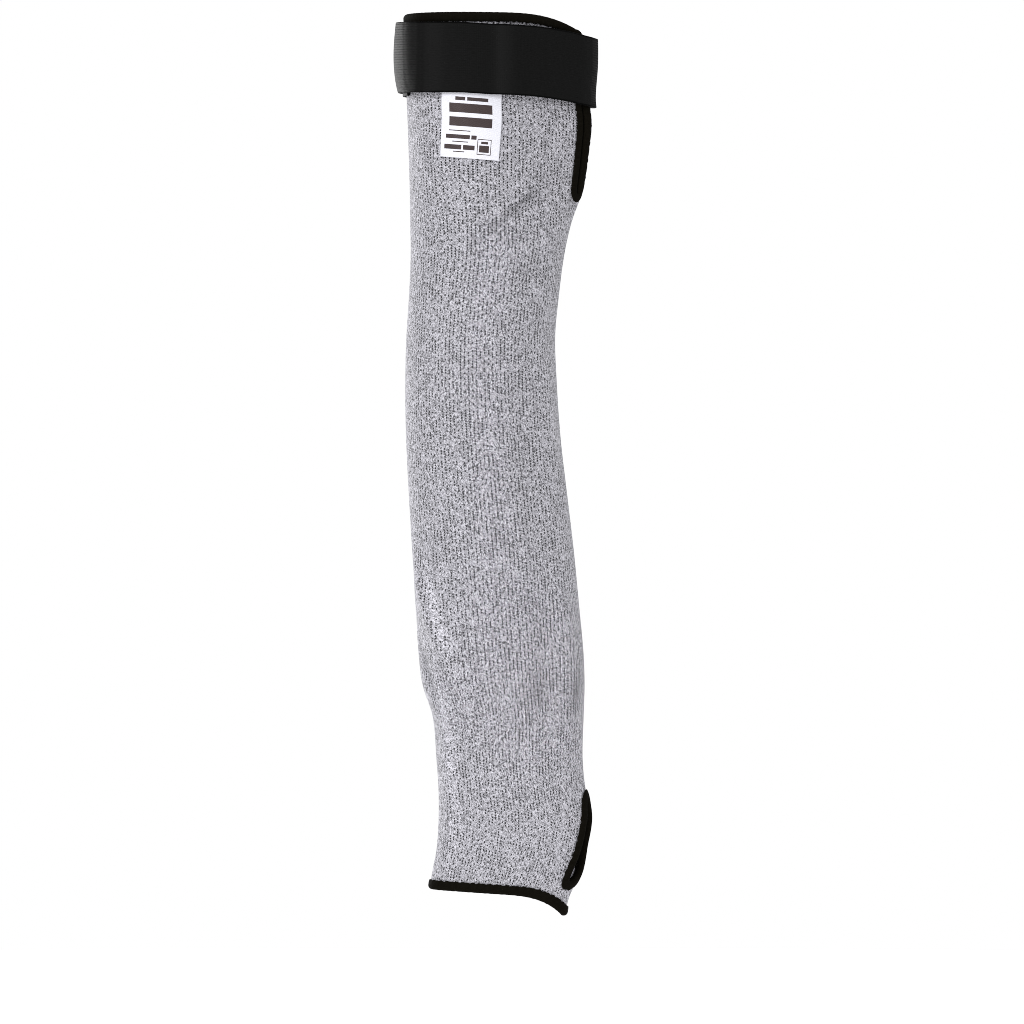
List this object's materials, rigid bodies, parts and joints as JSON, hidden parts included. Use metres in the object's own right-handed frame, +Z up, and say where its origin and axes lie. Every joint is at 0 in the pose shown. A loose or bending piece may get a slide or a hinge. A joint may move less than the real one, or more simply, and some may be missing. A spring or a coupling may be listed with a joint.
{
  "type": "cut resistant arm sleeve",
  "caption": "Knitted tube worn from the upper arm to the knuckles, with a bound slit and elastic strap at the top, a sewn label and a bound thumb slot above the hem.",
  "frame": {"origin": "on the upper arm's axis, in the middle of the strap's ring", "axes": "+Z up the arm towards the shoulder, +X to the thumb side and the inside of the elbow, -X to the point of the elbow, -Y to the outer side of the arm, which carries the label"},
  "size_m": [0.1112, 0.1015, 0.4886],
  "materials": {
    "knit": "grey and white heather weft knit, matte",
    "binding": "black knitted edge tape, matte",
    "strap": "black ribbed woven elastic, dull sheen",
    "hook": "black hook tape",
    "label": "white woven label"
  },
  "bodies": {
    "root": {"knit_tube": "knit", "top_binding": "binding", "hem_binding": "binding", "thumb_slot_binding": "binding", "closure_strap": "strap", "hook_patch": "hook", "label_tag": "label"}
  },
  "joints": []
}
